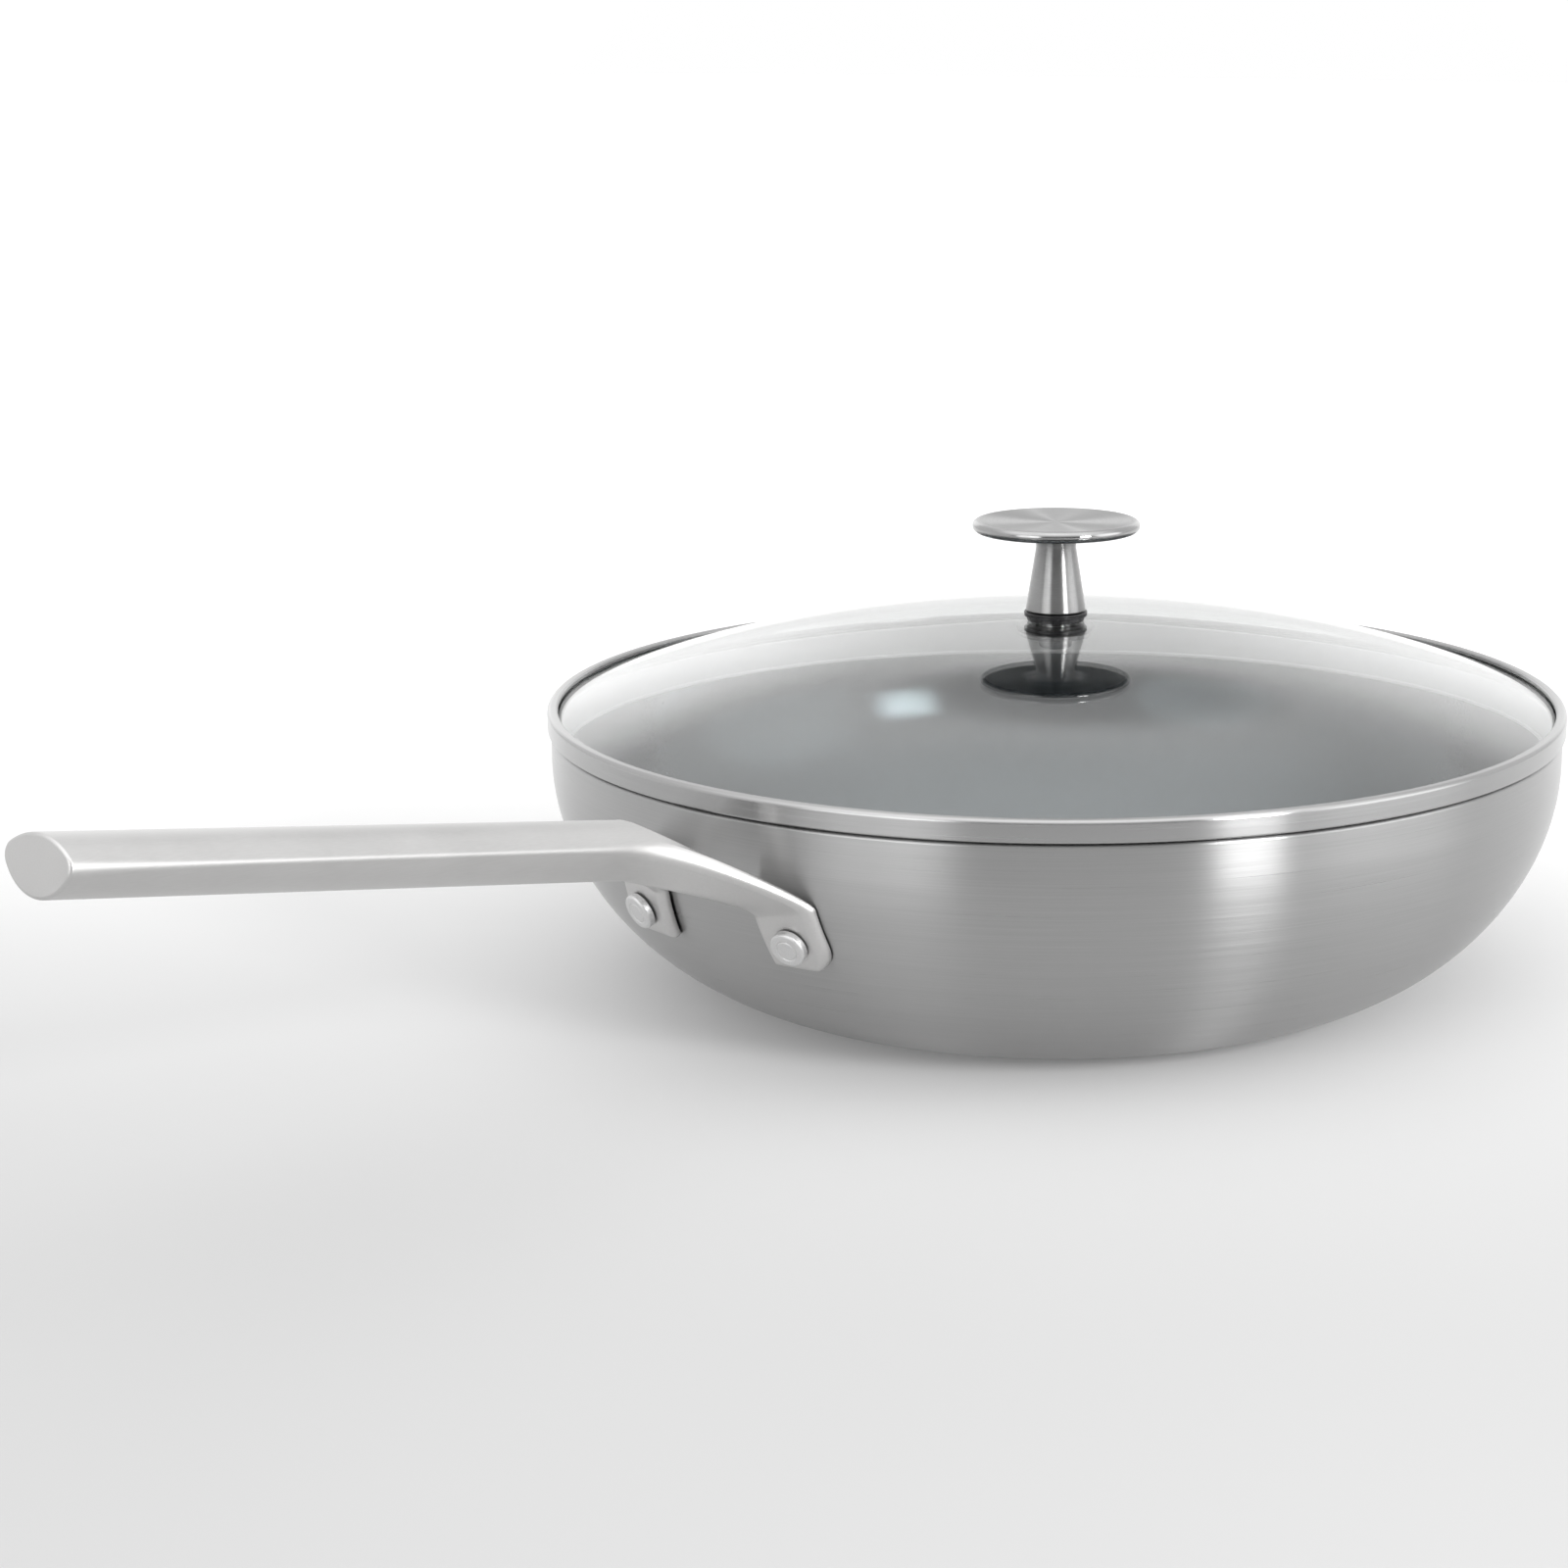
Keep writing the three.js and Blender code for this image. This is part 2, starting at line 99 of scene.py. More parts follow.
# Angles in degrees of the cuts round the ear's lower corners
EAR_CORNER_TURNS = (0, 12, 24, 36, 46, 54, 61, 67, 72, 77, 81, 85, 90)

# Rivets
RIVET_SPACING = 51
RIVET_DROP = 29.6
RIVET_SHANK_RADIUS = 3
RIVET_HEAD_RADIUS = 4.9
RIVET_HEAD_HEIGHT = 2.2
RIVET_HEAD_ROUND = 0.8
RIVET_RING_RADIUS = 2.75
RIVET_RING_DEPTH = 0.22
RIVET_RING_HALF = 0.35
RIVET_TAIL_RADIUS = 5.2
RIVET_TAIL_HEIGHT = 1.2
RIVET_TAIL_ROUND_SHARE = 0.8
RIVET_TAIL_SEAT = 1

# Lid
BAND_OVERHANG = 0.9
BAND_SHEET = 0.6
BAND_LIP = 1.5
BAND_LIP_REACH = 3
BAND_LIP_ROUND = 0.6
BAND_ROUND = 1.2
BAND_FOOT_ROUND = 0.5
FLANGE_ROUND = 0.5
BAND_SEAM = 0.35
BAND_SEAM_REACH = 2
SKIRT_DEPTH = 8.6
SKIRT_HEM = 0.3
SKIRT_HEM_HEIGHT = 1.1
SKIRT_HEM_ROUND = 0.35
SKIRT_EDGE_ROUND = 0.25
SKIRT_CLEARANCE = 0.6
GLASS = 3
DOME_RISE = 23.5
DOME_POWER = 2.38
GLASS_HOLE_RADIUS = 5.5
GLASS_EDGE_ROUND = 0.4
SEAL = 1
SEAL_GAP = 0.1
SEAL_TOP_ROUND = 0.45

# Knob and its fixing
KNOB_RADIUS = 23.75
KNOB_RIM = 3.2
KNOB_DISH = 0.6
KNOB_DISH_EDGE = 21.6
KNOB_HEIGHT = 25.8
STEM_BASE_RADIUS = 8.6
STEM_BASE_ROUND = 0.4
STEM_NECK_RADIUS = 5.7
NECK_DROP = 4.6
NECK_FLARE = 4
GASKET = 2.6
GASKET_RADIUS = 9
GASKET_STEP = 0.8
GASKET_TOP_ROUND = 0.25
GASKET_GROOVE = 0.35
GASKET_GROOVE_HALF = 0.15
GASKET_GROOVE_ROUND = 0.06
UNDER_GASKET = 1.5
UNDER_GASKET_RADIUS = 11
UNDER_GASKET_ROUND = 0.35
WASHER = 1
WASHER_RADIUS = 10
SCREW_RADIUS = 2.5
SCREW_GRIP = 10
SCREW_END_ROOM = 2
SCREW_TIP_ROUND = 0.5
SCREW_HEAD_RADIUS = 4.75
SCREW_HEAD_HEIGHT = 2.8
SCREW_HEAD_ROUND = 1.2
SCREW_SEAT_ROUND = 0.15
SCREW_SOCKET_RADIUS = 1.9
SCREW_SOCKET_DEPTH = 1.1
SCREW_SOCKET_FLOOR_RADIUS = 1.7
SCREW_SOCKET_FLOOR_DEPTH = 1.4
HOLE_CLEARANCE = 0.3

# Mesh density
BOWL_SIDES = 192
KNOB_SIDES = 128
SMALL_SIDES = 64
WALL_STEPS = 56
DOME_STEPS = 56
ROUND_STEPS = 5
BAR_STEPS = 18
BEND_STEPS = 16
LEG_STEPS = 128
EAR_STEPS = 5
UNDER_STEPS = 13
CREASE_STEPS = 33
OVER_STEPS = 11
INNER_STEPS = EAR_INNER_BACK[2] + EAR_INNER_FRONT[2]
FLARE_STEPS = 12
DISH_STEPS = 12
NOSE_STEPS = 16
# Points nearer the axis than this are one point, and places that agree to these decimals are one
AXIS_REACH = 1e-6
WELD_DECIMALS = 4
SHARE_TOLERANCE = 1e-7


def piece(name, points, faces, normals):
    """A smooth mesh object from millimetre points with a normal at each."""
    mesh = bpy.data.meshes.new(name)
    mesh.from_pydata((np.asarray(points) * MM).tolist(), [], faces)
    mesh.shade_smooth()
    mesh.normals_split_custom_set_from_vertices(np.asarray(normals).tolist())
    thing = bpy.data.objects.new(name, mesh)
    bpy.context.scene.collection.objects.link(thing)
    return thing


def rounded(corners, ring=False):
    """Points of a line of corners (radius, height, rounding), with an arc for each rounding."""
    made = []
    count = len(corners)
    for i, (r, z, radius) in enumerate(corners):
        here = np.array((r, z), float)
        if radius <= 0 or (not ring and i in (0, count - 1)):
            made.append(here)
            continue
        back = np.array(corners[i - 1][:2], float) - here
        on = np.array(corners[(i + 1) % count][:2], float) - here
        back /= np.linalg.norm(back)
        on /= np.linalg.norm(on)
        half = math.acos(np.clip(back @ on, -1, 1)) / 2
        middle = here + (back + on) / np.linalg.norm(back + on) * radius / math.sin(half)
        first = here + back * radius / math.tan(half) - middle
        last = here + on * radius / math.tan(half) - middle
        sweep = math.pi - 2 * half
        for k in range(ROUND_STEPS + 1):
            share = k / ROUND_STEPS
            arm = math.sin((1 - share) * sweep) * first + math.sin(share * sweep) * last
            made.append(middle + arm / math.sin(sweep))
    return np.array(made)


def circle(radius, height, turn):
    """A row for each angle of a circle about +Z."""
    level = np.full(len(turn), height)
    return np.stack([radius * np.cos(turn), radius * np.sin(turn), level], axis=1)


def turned(name, profile, sides, ring=False):
    """A solid turned about +Z from (radius, height) points anticlockwise round its section."""
    profile = np.asarray(profile, float)
    step = np.roll(profile, -1, axis=0) - profile
    outward = np.stack([step[:, 1], -step[:, 0]], axis=1)
    if not ring:
        outward[-1] = 0
    outward = outward + np.roll(outward, 1, axis=0)
    outward /= np.linalg.norm(outward, axis=1)[:, None]
    turn = np.arange(sides) * 2 * math.pi / sides
    points, normals, rows = [], [], []
    for (r, z), (out, up) in zip(profile, outward):
        around = turn if r > AXIS_REACH else turn[:1]
        rows.append(len(points) + np.resize(np.arange(len(around)), sides))
        points.extend(circle(r, z, around))
        normals.extend(circle(out, up, around))
    faces = []
    pairs = zip(rows, rows[1:] + rows[:1]) if ring else zip(rows, rows[1:])
    for low, high in pairs:
        for j in range(sides):
            k = (j + 1) % sides
            corners = [int(c) for c in (low[j], low[k], high[k], high[j])]
            faces.append(list(dict.fromkeys(corners)))
    return piece(name, points, faces, normals)


# The bowl's wall: a curve from the flat base to the short upright band below the rim
curve_top = BODY_HEIGHT - STRAIGHT_WALL
WALL_CURVE = np.array([
    (BASE_RADIUS, 0),
    (BASE_RADIUS + BASE_PULL, 0),
    (RIM_RADIUS, curve_top - WALL_PULL),
    (RIM_RADIUS, curve_top),
])


def bezier(ends, t):
    """The point at share t of a cubic curve."""
    a, b, c, d = ends
    return a * (1 - t) ** 3 + 3 * b * t * (1 - t) ** 2 + 3 * c * t * t * (1 - t) + d * t ** 3


def wall_point(t, outwards):
    """The point at share t of the wall's curve, moved along its outward normal."""
    a, b, c, d = WALL_CURVE
    along = (b - a) * (1 - t) ** 2 + 2 * (c - b) * t * (1 - t) + (d - c) * t * t
    along /= np.linalg.norm(along)
    return bezier(WALL_CURVE, t) + np.array((along[1], -along[0])) * outwards


def wall_share(height):
    """The share of the wall's curve at which it has a height."""
    low, high = 0.0, 1.0
    while high - low > SHARE_TOLERANCE:
        middle = (low + high) / 2
        low, high = (middle, high) if bezier(WALL_CURVE, middle)[1] < height else (low, middle)
    return low


def wall_line(outwards):
    """The whole curve as corners without roundings."""
    return [(*wall_point(i / WALL_STEPS, outwards), 0) for i in range(WALL_STEPS + 1)]


def make_bowl():
    inside = RIM_RADIUS - WALL
    return turned("bowl_skin", rounded([
        (0, 0, 0),
        *wall_line(0),
        (RIM_RADIUS, BODY_HEIGHT, RIM_ROUND),
        (inside, BODY_HEIGHT, RIM_ROUND),
        *wall_line(-WALL)[::-1],
        (0, WALL, 0),
    ]), BOWL_SIDES)


lining_back = WALL + BOND_GAP
lining_face = lining_back + LINING
lining_top = BODY_HEIGHT - LINING_DROP


def make_lining():
    return turned("lining_skin", rounded([
        (0, lining_back, 0),
        *wall_line(-lining_back),
        (RIM_RADIUS - lining_back, lining_top, 0),
        (RIM_RADIUS - lining_face, lining_top, LINING / 2),
        *wall_line(-lining_face)[::-1],
        (0, lining_face, 0),
    ]), BOWL_SIDES)


# Rivets lie along the wall's normal
rivet_height = BODY_HEIGHT - RIVET_DROP
rivet_seat = REST_GAP + EAR_THICKNESS + REST_GAP
rivet_inside = -lining_face - RIVET_TAIL_SEAT


def make_rivet(name, side):
    top = rivet_seat + RIVET_HEAD_HEIGHT
    end = rivet_inside - RIVET_TAIL_HEIGHT
    ring = RIVET_RING_RADIUS
    rivet = turned(name, rounded([
        (0, end, 0),
        (RIVET_TAIL_RADIUS, end, RIVET_TAIL_HEIGHT * RIVET_TAIL_ROUND_SHARE),
        (RIVET_TAIL_RADIUS, rivet_inside, EDGE_CRISP),
        (RIVET_SHANK_RADIUS, rivet_inside, EDGE_CRISP),
        (RIVET_SHANK_RADIUS, rivet_seat, EDGE_CRISP),
        (RIVET_HEAD_RADIUS, rivet_seat, EDGE_FINE),
        (RIVET_HEAD_RADIUS, top, RIVET_HEAD_ROUND),
        (ring + RIVET_RING_HALF, top, EDGE_CRISP),
        (ring, top - RIVET_RING_DEPTH, EDGE_CRISP),
        (ring - RIVET_RING_HALF, top, EDGE_CRISP),
        (0, top, 0),
    ]), SMALL_SIDES)
    share = wall_share(rivet_height)
    spot = wall_point(share, 0)
    normal = wall_point(share, 1) - spot
    y = side * RIVET_SPACING / 2
    x = -math.sqrt(spot[0] ** 2 - y ** 2)
    outwards = Vector((x / spot[0] * normal[0], y / spot[0] * normal[0], normal[1]))
    rivet.rotation_mode = "QUATERNION"
    rivet.rotation_quaternion = Vector((0, 0, 1)).rotation_difference(outwards)
    rivet.location = Vector((x, y, rivet_height)) * MM
    return rivet


# Handle: a lens-shaped bar with a rounded crease, two legs and two ears
fork_reach = RIM_RADIUS + FORK_REACH
fork_height = rivet_height + FORK_CLIMB


def lens_half(half, crown, keel, crease):
    """(sideways, square) points from the underside's middle round the crease to the top's."""
    over_radius = (half ** 2 + crown ** 2) / (2 * crown)
    under_radius = (half ** 2 + keel ** 2) / (2 * keel)
    over_middle, under_middle = crown - over_radius, under_radius - keel
    gap = (over_radius - crease) ** 2 - (under_radius - crease) ** 2
    z = (over_middle ** 2 - under_middle ** 2 - gap) / (2 * (over_middle - under_middle))
    x = math.sqrt((over_radius - crease) ** 2 - (z - over_middle) ** 2)
    under_turn = math.atan2(z - under_middle, x)
    over_turn = math.atan2(z - over_middle, x)
    under = np.linspace(-math.pi / 2, under_turn, UNDER_STEPS)
    bend = np.linspace(under_turn, over_turn, CREASE_STEPS + 2)[1:-1]
    over = np.linspace(over_turn, math.pi / 2, OVER_STEPS)
    return np.concatenate([
        np.stack([under_radius * np.cos(under), under_middle + under_radius * np.sin(under)], 1),
        np.stack([x + crease * np.cos(bend), z + crease * np.sin(bend)], 1),
        np.stack([over_radius * np.cos(over), over_middle + over_radius * np.sin(over)], 1),
    ])


def bar_points(distance, section):
    """Section points (sideways, square) at a distance from the fork along the bar."""
    reach = fork_reach + distance * math.cos(BAR_RISE) - section[:, 1] * math.sin(BAR_RISE)
    height = fork_height + distance * math.sin(BAR_RISE) + section[:, 1] * math.cos(BAR_RISE)
    return np.stack([-reach, section[:, 0], height], axis=1)


def bar_half(distance, inset=0.0):
    """The bar's half section at a distance from the fork, made smaller all round by an inset."""
    share = distance / BAR_LENGTH
    half, crown, keel = (f + (e - f) * share - inset for f, e in zip(FORK_HALF, END_HALF))
    arm = max(0, 1 - distance / ARM_CREASE_REACH) ** 2
    end = max(0, 1 - (BAR_LENGTH - distance) / END_CREASE_REACH) ** 2
    wider = (ARM_CREASE_ROUND - CREASE_ROUND) * arm + (END_CREASE_ROUND - CREASE_ROUND) * end
    return lens_half(half, crown, keel, CREASE_ROUND + wider)


def ear_point(sideways, height, outwards):
    """A point on the handle's side of the wall, moved along the wall's normal."""
    spot = wall_point(wall_share(height), outwards)
    return np.array((-math.sqrt(spot[0] ** 2 - sideways ** 2), sideways, spot[1]))


ear_inner = (RIVET_SPACING - EAR_WIDTH) / 2
ear_outer = (RIVET_SPACING + EAR_WIDTH) / 2
ear_bottom = rivet_height - EAR_BELOW_RIVET
ear_top = rivet_height + EAR_ABOVE_RIVET


def splayed(sideways, height):
    return np.array((sideways + (rivet_height - height) * EAR_SPLAY, height))


def ear_cuts():
    """Lines from the ear's inner to its outer edge, from its top down round its lower corners."""
    cuts = []
    for share in np.linspace(0, 1, EAR_STEPS + 1)[:-1]:
        inner = ear_top + (ear_bottom + EAR_INNER_CORNER - ear_top) * share
        outer = ear_top + EAR_TOP_TILT + (ear_bottom + EAR_CORNER - ear_top - EAR_TOP_TILT) * share
        cuts.append((splayed(ear_inner, inner), splayed(ear_outer, outer)))
    for degrees in EAR_CORNER_TURNS:
        turn = math.radians(degrees)
        sides = []
        for edge, way, radius in ((ear_inner, 1, EAR_INNER_CORNER), (ear_outer, -1, EAR_CORNER)):
            sideways = edge + way * radius * (1 - math.cos(turn))
            sides.append(splayed(sideways, ear_bottom + radius * (1 - math.sin(turn))))
        cuts.append(tuple(sides))
    return cuts


def ear_section(inner, outer):
    """A closed cut of the ear: front face, rounded outer edge, back face, rounded inner edge."""
    front, back = REST_GAP + EAR_THICKNESS, REST_GAP
    length = np.linalg.norm(outer - inner)
    fore, aft = EAR_FRONT_ROUND, EAR_BACK_ROUND
    quarter = np.linspace(0, math.pi / 2, CREASE_STEPS // 2 + 1)
    edge = [(fore * (1 - math.sin(a)), front - fore * (1 - math.cos(a))) for a in quarter]
    edge += [(aft * (1 - math.cos(a)), back + aft * (1 - math.sin(a))) for a in quarter[:-1]]
    inner_edge = [
        (aft * (1 - math.sin(a)), back + aft * (1 - math.cos(a)))
        for a in np.linspace(*EAR_INNER_BACK)
    ]
    inner_edge += [
        (fore * (1 - math.cos(a)), front - fore * (1 - math.sin(a)))
        for a in np.linspace(*EAR_INNER_FRONT)
    ]
    places = [(s, front) for s in np.linspace(fore, length - fore, UNDER_STEPS + 1)[:-1]]
    places += [(length - s, out) for s, out in edge]
    places += [(length - s, back) for s in np.linspace(aft, length - aft, OVER_STEPS + 1)[1:]]
    places += inner_edge
    made = []
    for s, out in places:
        sideways, height = inner + (outer - inner) * s / length
        low = min(max(height - ear_bottom, 0), fore)
        limit = front - fore + math.sqrt(fore ** 2 - (fore - low) ** 2)
        made.append(ear_point(sideways, height, min(out, limit)))
    return np.array(made)


def leg_rings():
    """Rings from the fork down the left leg to the bottom of its ear."""
    half = bar_half(0)
    top, under = half[-1], half[0]
    split = [top + (under - top) * s for s in np.linspace(0, 1, INNER_STEPS + 2)[1:-1]]
    start = bar_points(0, np.concatenate([half, split]))
    shares = np.concatenate([half[:, 0] / half[:, 0].max(), np.zeros(INNER_STEPS)])[:, None]
    cuts = [ear_section(*cut) for cut in ear_cuts()]
    down_bar = np.array((math.cos(BAR_RISE), 0, -math.sin(BAR_RISE)))
    leave = shares * down_bar + (1 - shares) * np.array((0, 1, 0))
    leave /= np.linalg.norm(leave, axis=1)[:, None]
    pull = LEG_INNER_PULL + (LEG_OUTER_PULL - LEG_INNER_PULL) * shares
    arrive = cuts[1] - cuts[0]
    arrive /= np.linalg.norm(arrive, axis=1)[:, None]
    ends = (start, start + leave * pull, cuts[0] - arrive * LEG_END_PULL, cuts[0])
    return [bezier(ends, t) for t in np.linspace(0, 1, LEG_STEPS + 1)] + cuts[1:]


def eased(line, share):
    """A line along the bar and a leg, its bend at the fork drawn out, most at the outer crease."""
    along = np.concatenate([[0], np.cumsum(np.linalg.norm(np.diff(line, axis=0), axis=1))])
    apart = (along[:, None] - along[None, :]) / BEND_SPREAD
    weight = np.exp(-apart ** 2 / 2) * np.gradient(along)
    soft = weight @ line / weight.sum(axis=1)[:, None]
    near = np.clip(1 - ((along - along[BEND_STEPS]) / (BEND_WINDOW * BEND_SPREAD)) ** 2, 0, 1)
    ease = np.clip((share - BEND_EASE_START) / BEND_EASE_STRETCH, 0, 1)
    return line + (soft - line) * (near * ease)[:, None]


def bend_rings():
    """Left half outlines of the bar's last stretch and the left leg's rings, the bend eased."""
    bar = [bar_points(d, bar_half(d)) for d in np.linspace(BEND_REACH, 0, BEND_STEPS + 1)]
    leg = leg_rings()
    half = bar_half(0)
    for j, share in enumerate(half[:, 0] / half[:, 0].max()):
        line = eased(np.array([ring[j] for ring in bar[:-1] + leg]), share)
        for ring, point in zip(bar[:-1] + leg, line):
            ring[j] = point
    bar[-1] = leg[0][:len(half)]
    return bar, leg


def loft(rings, flipped):
    """Quads between closed rings of points, as corner lists."""
    quads = []
    for a, b in zip(rings, rings[1:]):
        for j in range(len(a)):
            k = (j + 1) % len(a)
            quad = [a[j], a[k], b[k], b[j]]
            quads.append(quad[::-1] if flipped else quad)
    return quads


def fan(ring, flipped):
    """Triangles from a ring's middle, as corner lists."""
    middle = np.mean(ring, axis=0)
    corners = [[middle, ring[j], ring[(j + 1) % len(ring)]] for j in range(len(ring))]
    return [c[::-1] for c in corners] if flipped else corners


def welded(faces):
    """Points and index faces of corner lists, with corners at one place made one point."""
    known, points, made = {}, [], []
    for face in faces:
        row = []
        for corner in face:
            key = tuple(np.round(corner, WELD_DECIMALS))
            if key not in known:
                known[key] = len(points)
                points.append(corner)
            row.append(known[key])
        row = list(dict.fromkeys(row))
        if len(row) > 2:
            made.append(row)
    return np.array(points), made


def area_normals(points, faces):
    """Point normals in which large faces count more, so that flats stay flat by small rounds."""
    normals = np.zeros_like(points)
    for face in faces:
        corners = points[face]
        normal = np.cross(corners[2] - corners[0], corners[-1] - corners[1])
        normals[face] += normal
    return normals / np.linalg.norm(normals, axis=1)[:, None]


MIRROR = np.array((1, -1, 1))


def make_handle():
    turns = np.linspace(math.pi / 2, 0, ROUND_STEPS + 1)
    rings = [
        (BAR_LENGTH - END_ROUND * (1 - math.sin(a)), END_ROUND * (1 - math.cos(a)))
        for a in turns
    ]
    straight = np.linspace(BAR_LENGTH - END_ROUND, BEND_REACH, BAR_STEPS + 1)
    rings += [(d, 0.0) for d in straight[1:-1]]
    halves, leg = bend_rings()
    halves = [bar_points(d, bar_half(d, inset)) for d, inset in rings] + halves
    outlines = [np.concatenate([half, half[::-1][1:-1] * MIRROR]) for half in halves]
    other_leg = [ring * MIRROR for ring in leg]
    faces = fan(outlines[0], True) + loft(outlines, False)
    faces += loft(leg, False) + fan(leg[-1], False)
    faces += loft(other_leg, True) + fan(other_leg[-1], True)
    points, rows = welded(faces)
    return piece("handle_skin", points, rows, area_normals(points, rows))


# Lid heights, from the rim upwards
flange_bottom = BODY_HEIGHT + REST_GAP
flange_top = flange_bottom + BAND_SHEET
band_radius = RIM_RADIUS + BAND_OVERHANG
channel_wall = band_radius - BAND_SHEET
glass_edge = channel_wall - SEAL - 2 * SEAL_GAP
glass_seat = flange_top + REST_GAP


def dome_top(radius):
    return glass_seat + GLASS + DOME_RISE * (1 - (radius / glass_edge) ** DOME_POWER)


lip_radius = band_radius - BAND_LIP_REACH
lip_bottom = dome_top(lip_radius) + REST_GAP
band_top = lip_bottom + BAND_LIP
skirt_outer = RIM_RADIUS - lining_face - SKIRT_CLEARANCE
skirt_inner = skirt_outer - BAND_SHEET


def make_band():
    skirt_bottom = flange_bottom - SKIRT_DEPTH
    hem_top = skirt_bottom + SKIRT_HEM_HEIGHT
    return turned("band_skin", rounded([
        (skirt_inner, hem_top, EDGE_CRISP),
        (skirt_inner - SKIRT_HEM, hem_top - SKIRT_HEM, SKIRT_EDGE_ROUND),
        (skirt_inner - SKIRT_HEM, skirt_bottom, SKIRT_HEM_ROUND),
        (skirt_outer, skirt_bottom, SKIRT_EDGE_ROUND),
        (skirt_outer, flange_bottom, EDGE_SOFT),
        (band_radius - BAND_SEAM_REACH, flange_bottom, 0),
        (band_radius - BAND_SEAM_REACH, flange_bottom + BAND_SEAM, 0),
        (band_radius, flange_bottom + BAND_SEAM, BAND_FOOT_ROUND),
        (band_radius, band_top, BAND_ROUND),
        (lip_radius, band_top, BAND_LIP_ROUND),
        (lip_radius, lip_bottom, EDGE_SOFT),
        (channel_wall, lip_bottom, EDGE_FINE),
        (channel_wall, flange_top, EDGE_FINE),
        (skirt_inner, flange_top, FLANGE_ROUND),
    ], ring=True), BOWL_SIDES, ring=True)


def make_glass():
    reach = GLASS_HOLE_RADIUS + (glass_edge - GLASS_HOLE_RADIUS) * np.linspace(0, 1, DOME_STEPS + 1)
    top = [(r, dome_top(r), 0) for r in reach[1:-1]]
    bottom = [(r, z - GLASS, 0) for r, z, _ in top]
    start, end = reach[0], reach[-1]
    return turned("glass_skin", rounded([
        (start, dome_top(start) - GLASS, EDGE_SOFT),
        *bottom,
        (end, dome_top(end) - GLASS, GLASS_EDGE_ROUND),
        (end, dome_top(end), GLASS_EDGE_ROUND),
        *top[::-1],
        (start, dome_top(start), EDGE_SOFT),
    ], ring=True), BOWL_SIDES, ring=True)


def make_seal():
    inner = glass_edge + SEAL_GAP
    bottom, top = flange_top + SEAL_GAP, glass_seat + GLASS
    return turned("seal_skin", rounded([
        (inner, bottom, EDGE_SOFT),
        (inner + SEAL, bottom, EDGE_SOFT),
        (inner + SEAL, top, SEAL_TOP_ROUND),
        (inner, top, SEAL_TOP_ROUND),
    ], ring=True), BOWL_SIDES, ring=True)


# Knob stack heights, outwards from both faces of the glass
gasket_bottom = dome_top(0) + REST_GAP
gasket_top = gasket_bottom + GASKET
stem_bottom = gasket_top + REST_GAP
under_top = dome_top(UNDER_GASKET_RADIUS) - GLASS - REST_GAP
washer_top = under_top - UNDER_GASKET - REST_GAP
screw_head_top = washer_top - WASHER - REST_GAP
screw_bore = SCREW_RADIUS + HOLE_CLEARANCE
disc_bottom = stem_bottom + KNOB_HEIGHT - KNOB_RIM
disc_top = disc_bottom + KNOB_RIM


def make_knob():
    bore_top = stem_bottom + SCREW_GRIP + SCREW_END_ROOM
    neck = np.array((STEM_NECK_RADIUS, disc_bottom - NECK_DROP))
    turn = np.array((STEM_NECK_RADIUS, disc_bottom))
    flare_end = np.array((STEM_NECK_RADIUS + NECK_FLARE, disc_bottom))
    flare = [
        (*(neck * (1 - t) ** 2 + 2 * turn * t * (1 - t) + flare_end * t * t), 0)
        for t in np.linspace(0, 1, FLARE_STEPS + 1)
    ]
    dish = [
        (r, disc_top - KNOB_DISH * (1 - (r / KNOB_DISH_EDGE) ** 2), 0)
        for r in np.linspace(KNOB_DISH_EDGE, 0, DISH_STEPS + 1)
    ]
    bull = KNOB_RIM / 2
    nose = [
        (KNOB_RADIUS - bull + bull * math.cos(a), disc_bottom + bull + bull * math.sin(a), 0)
        for a in np.linspace(-math.pi / 2, math.pi / 2, NOSE_STEPS + 1)
    ]
    return turned("knob_skin", rounded([
        (0, bore_top, 0),
        (screw_bore, bore_top, EDGE_FINE),
        (screw_bore, stem_bottom, EDGE_SOFT),
        (STEM_BASE_RADIUS, stem_bottom, STEM_BASE_ROUND),
        *flare,
        *nose,
        *dish,
    ]), KNOB_SIDES)


def make_gasket():
    """The stepped washer above the glass, with a thin groove and a sleeve down into the hole."""
    sleeve = GLASS_HOLE_RADIUS - HOLE_CLEARANCE
    sleeve_bottom = gasket_bottom - GLASS + REST_GAP
    step = (gasket_bottom + gasket_top) / 2
    upper = (step + gasket_top) / 2
    foot = GASKET_RADIUS - GASKET_STEP
    return turned("gasket_skin", rounded([
        (screw_bore, sleeve_bottom, EDGE_FINE),
        (sleeve, sleeve_bottom, EDGE_FINE),
        (sleeve, gasket_bottom, EDGE_FINE),
        (foot, gasket_bottom, EDGE_SOFT),
        (foot, step, EDGE_FINE),
        (GASKET_RADIUS, step, EDGE_FINE),
        (GASKET_RADIUS, upper - GASKET_GROOVE_HALF, EDGE_CRISP),
        (GASKET_RADIUS - GASKET_GROOVE, upper, GASKET_GROOVE_ROUND),
        (GASKET_RADIUS, upper + GASKET_GROOVE_HALF, EDGE_CRISP),
        (GASKET_RADIUS, gasket_top, GASKET_TOP_ROUND),
        (screw_bore, gasket_top, EDGE_FINE),
    ], ring=True), SMALL_SIDES, ring=True)


def make_ring(name, outer, top, thickness, rounding):
    """A flat washer round the screw."""
    return turned(name, rounded([
        (screw_bore, top - thickness, rounding),
        (outer, top - thickness, rounding),
        (outer, top, rounding),
        (screw_bore, top, rounding),
    ], ring=True), SMALL_SIDES, ring=True)


